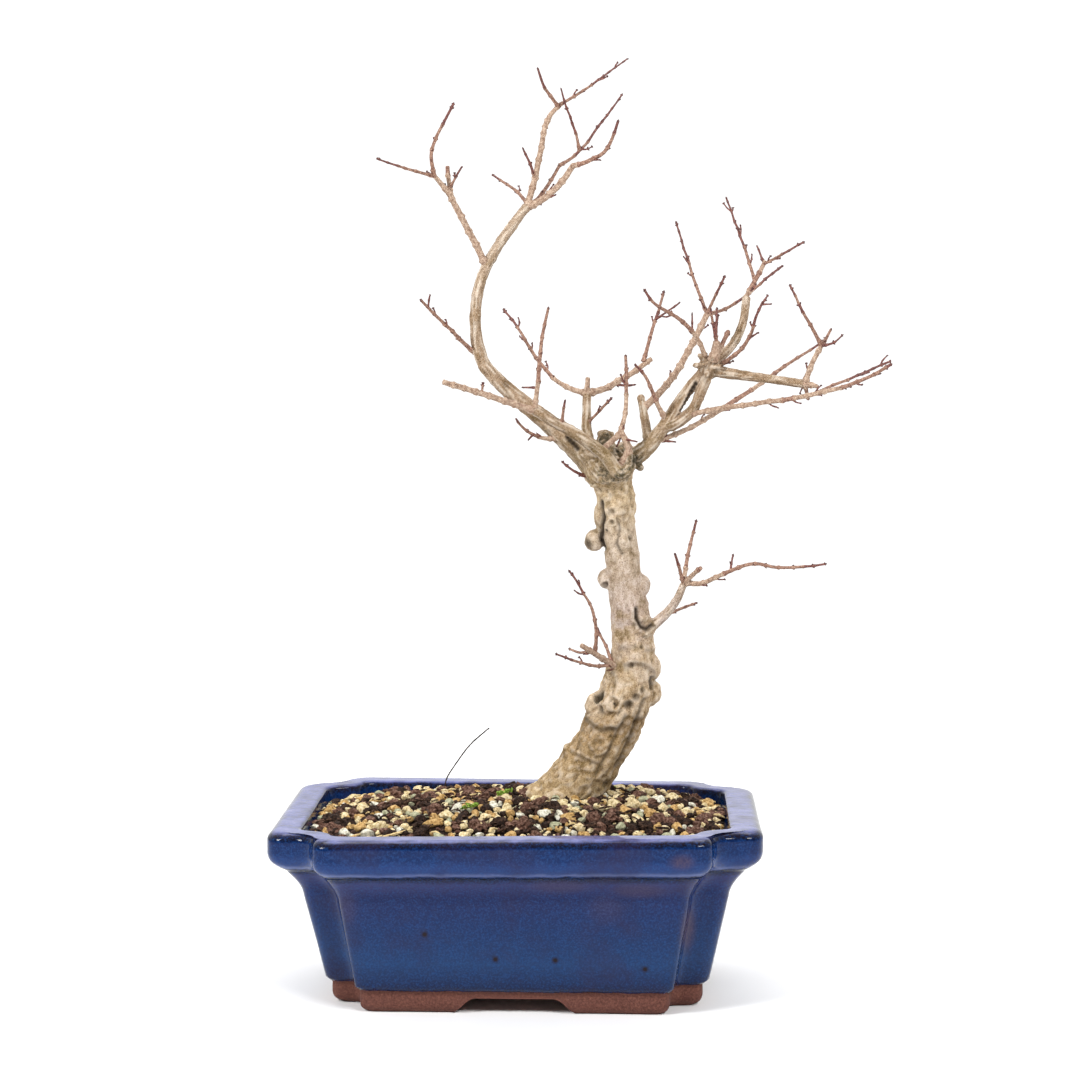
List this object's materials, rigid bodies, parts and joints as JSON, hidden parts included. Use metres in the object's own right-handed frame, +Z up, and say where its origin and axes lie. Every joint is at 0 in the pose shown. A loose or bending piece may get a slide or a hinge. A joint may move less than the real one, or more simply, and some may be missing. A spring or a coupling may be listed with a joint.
{
  "type": "potted bonsai tree",
  "caption": "Bare winter trident maple bonsai with a leaning trunk, forked boughs and open twigs, in a rectangular blue glazed pot on low feet.",
  "frame": {"origin": "on the ground under the pot's feet, at the centre of the whole object's footprint box", "axes": "+Z up, +X to the right as seen from the pot's long front side, -Y towards the viewer in front of that side"},
  "size_m": [0.3282, 0.19, 0.5076],
  "materials": {
    "pot": "glossy blue glaze over red-brown stoneware",
    "soil": "gravel and bark mix",
    "wood": "weathered maple bark",
    "twigs": "thin young bark"
  },
  "bodies": {
    "root": {"pot": "pot", "soil": "soil", "trunk": "wood", "bough_left_low": "wood", "bough_left_high": "wood", "bough_front": "wood", "bough_middle": "wood", "bough_right": "wood", "bough_right_twin": "wood", "bough_snag": "wood", "bough_right_arm": "wood", "bough_right_top": "wood", "bough_low_right": "wood", "twigs_top_left": "twigs", "twigs_top_middle": "twigs", "twigs_left": "twigs", "twigs_front_left": "twigs", "twig_front_spur": "twigs", "twigs_centre": "twigs", "twigs_middle": "twigs", "twig_middle_spur": "twigs", "twigs_left_low": "twigs", "twig_left_root": "twigs", "twigs_snag": "twigs", "twigs_hub_left": "twigs", "twigs_hub_top": "twigs", "twigs_hub_right": "twigs", "twigs_right_front": "twigs", "twigs_right_top": "twigs", "twigs_far_right": "twigs", "twigs_right_long": "twigs", "twigs_right_back": "twigs", "twigs_low_right": "twigs", "twig_low_right_spur": "twigs", "twigs_low_left": "twigs"}
  },
  "joints": []
}
